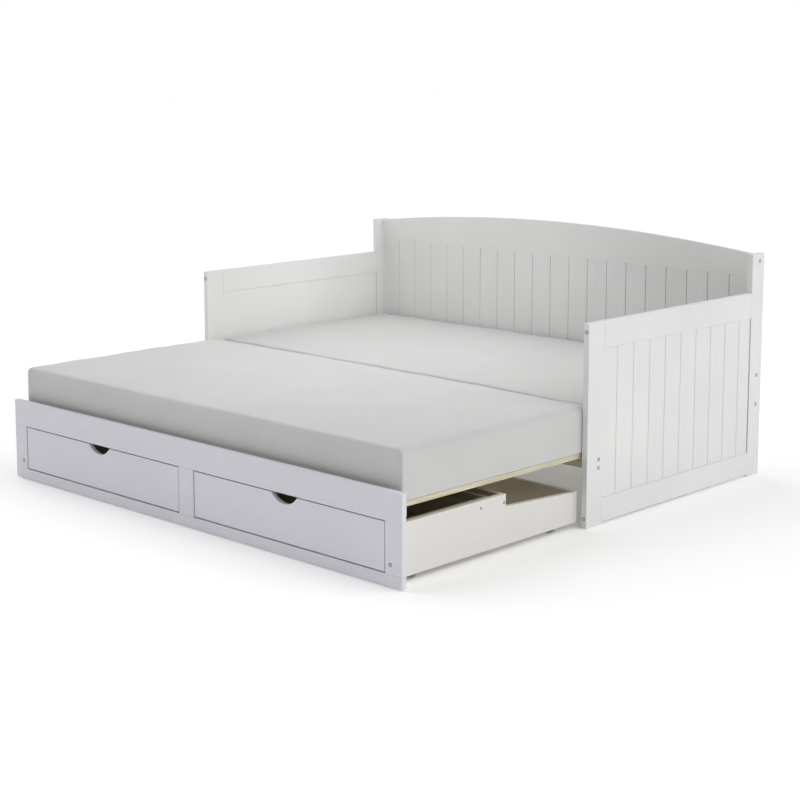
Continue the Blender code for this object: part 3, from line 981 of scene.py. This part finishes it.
def coordinates(mesh):
    flat = np.empty(len(mesh.vertices) * 3)
    mesh.vertices.foreach_get("co", flat)
    return flat.reshape(-1, 3)


def smooth_step(value, start, end):
    share = min(1.0, max(0.0, (value - start) / (end - start)))
    return share * share * (3 - 2 * share)


def waves(point, per_metre, seed):
    """Smooth noise over the mattress's plan, from about -1 to 1."""
    return noise.noise(Vector((point.x * per_metre, point.y * per_metre, seed)))


def slump(point, low, high, seed):
    """How far foam and cover have settled at a point: broad dips and an uneven rolled edge."""
    height = smooth_step(point.z, low.z + FOOT_STILL, high.z - TOP_FREE)
    broad = waves(point, BROAD_WAVES, seed)
    drape = waves(point, DRAPE_WAVES, seed + 5.0)
    pucker = waves(point, PUCKER_WAVES, seed + 9.0)
    rim = min(point.y - low.y, high.x - abs(point.x), high.y - point.y)
    edge = 1.0 - smooth_step(rim, 0.0, DRAPE_REACH)
    crest = 1.0 - smooth_step(rim, 0.0, PUCKER_REACH)
    fall = BROAD_DEEP * (broad - 0.5)
    fall += edge * DRAPE_DEEP * (drape - 0.25)
    fall += crest * PUCKER_DEEP * (pucker - 0.15)
    side = height * (1.0 - height) * 4.0 * SIDE_BULGE * drape
    return Vector((0.0, side, min(0.0, fall) * height))


def seam_dip(point, seam, high):
    """How far the foam gives along the seam, more and more towards the right arm."""
    away = abs(point.y - seam) / SEAM_DIP_WIDTH
    if away > 1.0 or point.z < high.z - SEAM_DIP_DEPTH:
        return 0.0
    along = smooth_step(point.x, SEAM_DIP_START, SEAM_DIP_END)
    return -SEAM_DIP * along * (1.0 - away) ** 2


def side_limit(point, low, high):
    """How far out the cover may stand at a point: held by the arms beside them, loose before them."""
    loose = smooth_step(ARM_FRONT - point.y, 0.0, ARM_REACH)
    edge = (high.x if point.x > 0 else -low.x) + START_IN
    return ARM_CLEAR + max(0.0, edge - ARM_CLEAR) * loose


def mattress(name, body, seed, loose=(0.0, 0.0)):
    """A foam mattress in a knitted cover: swollen by cloth pressure, then settled.

    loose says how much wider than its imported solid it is, at its left and right ends.
    """
    low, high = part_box(name)
    inner_low = low + Vector((START_IN - loose[0], START_IN, 0))
    inner_high = high - Vector((START_IN - loose[1], START_IN, -CROWN))
    seam = inner_low.y if body == "daybed" else inner_high.y
    mesh = cover_mesh(f"{name}_cover", inner_low, inner_high, seam)
    cover = piece(f"{name}_cover", mesh, TICKING, body, "mattress_cover", name)
    swell(cover, low.z)
    for point in mesh.vertices:
        point.co += slump(point.co, low, high, seed)
        point.co.z += seam_dip(point.co, seam, high)
        limit = side_limit(point.co, inner_low, inner_high)
        point.co.x = min(limit, max(-limit, point.co.x))
        point.co.y = min(high.y + SEAM_CLEAR, point.co.y)
        point.co.z = min(high.z + PROUD, max(low.z, point.co.z))
    return settle_mesh(cover)


def settle_mesh(cover):
    """Applies one subdivision, so that the mesh is final before anything flattens it."""
    finer = cover.modifiers.new("finer", "SUBSURF")
    finer.levels = 1
    finer.render_levels = 1
    smooth = cover.evaluated_get(bpy.context.evaluated_depsgraph_get())
    mesh = bpy.data.meshes.new_from_object(smooth)
    cover.modifiers.remove(finer)
    cover.data = mesh
    return cover


# ---- the daybed ---------------------------------------------------------------------------

BACK_PLANK = 0.0984  # from joint to joint
ARM_PLANK = 0.0965
FLUSH = 0.0003  # the back's planks behind its top rail's faces
POST_GAP = 0.0045  # open joint between the arms' last plank and the back post
UNPAINTED = ("box_cross_panel", "box_centre_divider")


def dress_boards():
    plain = ["back_bottom_rail"]
    for side in ("left", "right"):
        plain += [f"back_post_{side}", f"arm_{side}_front_post"]
        plain += [f"arm_{side}_top_rail", f"arm_{side}_bottom_rail"]
    for node in plain:
        lacquered_board(node)
    # the front frame takes the darker, bluer lacquer: painted shade
    for part in ("top_rail", "bottom_rail", "stile_left", "stile_centre", "stile_right"):
        lacquered_board(f"front_{part}", FRONT_WHITE_PAINTED_SHADE)
    # the rear board's darker white is painted shade
    rear_board = lacquered_board("box_rear_board", BOX_WHITE_PAINTED_SHADE)
    leave_bare(rear_board, (0, -1, 0), PLY)
    arched_rail("back_top_rail")
    rail_low, rail_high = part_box("back_top_rail")
    planked_panel(
        "back_panel",
        "X",
        BACK_PLANK,
        True,
        (-1, 1),
        (rail_low.y + FLUSH, rail_high.y - FLUSH),
        (0, 0),
    )
    for side, sign in (("left", -1), ("right", 1)):
        low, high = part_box(f"arm_{side}_panel")
        odd = int((high.y - low.y) / ARM_PLANK) % 2 == 1
        planked_panel(
            f"arm_{side}_panel",
            "Y",
            ARM_PLANK,
            odd,
            (sign,),
            (low.x, high.x),
            (0, POST_GAP),
        )
        box_side(f"box_side_{side}")
        drawer_front(f"drawer_{side}_front")


def dress_kept_nodes():
    """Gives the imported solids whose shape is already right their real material."""
    for node, made in NODES.items():
        if "slat" in node or "runner" in node or node == "front_cross_rail":
            material = PINE[longest_axis(node)]
        elif node.startswith("drawer_") or node in UNPAINTED:
            material = PLY
        elif node.startswith("caster_wheel"):
            material = NYLON
        elif node.startswith("caster_bracket"):
            material = ZINC
        else:
            continue
        made.data.materials.clear()
        made.data.materials.append(material)


# ---- stage --------------------------------------------------------------------------------

FLOOR_RADIUS = 60.0
SKY = 0.01  # what the room gives the bed from all round
BACKDROP = 1.0  # what shows behind it
LAMPS = {  # strength, and the direction that the light comes from
    "right_panel": (1.70, (1.0, 0.15, 0.9)),
    "left_panel": (1.98, (-1.0, -0.2, 0.8)),
    "rear_panel": (0.84, (0.0, 1.0, 1.0)),
}
LAMP_SPREAD = 80
FILL_POWER = 2.3
FILL_PLACE = (1.2, -1.6, 1.5)
FILL_AIM = (-0.8, 0.9, 0.6)  # the inside of the left arm and the back
FILL_SIZE = (1.2, 0.6)
FILL_SPREAD = 50


def make_stage():
    mesh = bpy.data.meshes.new("floor")
    made = bmesh.new()
    bmesh.ops.create_circle(made, cap_ends=True, segments=64, radius=FLOOR_RADIUS)
    made.to_mesh(mesh)
    made.free()
    floor = bpy.data.objects.new("floor", mesh)
    bpy.context.scene.collection.objects.link(floor)
    mesh.materials.append(studio_floor())

    world = bpy.data.worlds.new("studio")
    world.use_nodes = True
    tree = world.node_tree
    seen = add(tree, "LightPath", "Is Camera Ray")
    glow = add(tree, "MapRange", "Result", {"Value": seen, "To Min": SKY, "To Max": BACKDROP})
    tree.links.new(glow, tree.nodes["Background"].inputs["Strength"])
    tree.nodes["Background"].inputs["Color"].default_value = grey(1.0)
    bpy.context.scene.world = world
    bpy.context.scene.view_settings.view_transform = "Standard"

    for name, (strength, towards) in LAMPS.items():
        panel(name, strength, towards)
    fill()


def light_object(data, place, towards):
    """Puts a lamp at a place, with its light coming from the direction given."""
    made = bpy.data.objects.new(data.name, data)
    made.location = place
    made.rotation_euler = Vector(towards).to_track_quat("Z", "Y").to_euler()
    bpy.context.scene.collection.objects.link(made)
    return made


def panel(name, strength, towards):
    """A broad even light from one direction, as from a large diffusing panel."""
    data = bpy.data.lights.new(name, "SUN")
    data.energy = strength
    data.angle = math.radians(LAMP_SPREAD)
    light_object(data, (0, 0, 0), towards)


def fill():
    """A small soft box in front of the bed, aimed at the corner that the panels leave dull."""
    data = bpy.data.lights.new("fill_box", "AREA")
    data.energy = FILL_POWER
    data.shape = "RECTANGLE"
    data.size, data.size_y = FILL_SIZE
    data.spread = math.radians(FILL_SPREAD)
    made = light_object(data, FILL_PLACE, Vector(FILL_PLACE) - Vector(FILL_AIM))
    made.visible_camera = False


# ---- make it ------------------------------------------------------------------------------

make_camera()
make_stage()
dress_kept_nodes()
dress_boards()
make_bolts()
rear_cover = mattress("rear_mattress", "daybed", REAR_SEED)
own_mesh(rear_cover)
front_cover = mattress(
    "front_mattress",
    "front_mattress",
    FRONT_SEED,
    loose=(LOOSE_LEFT, LOOSE_RIGHT),
)
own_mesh(front_cover)
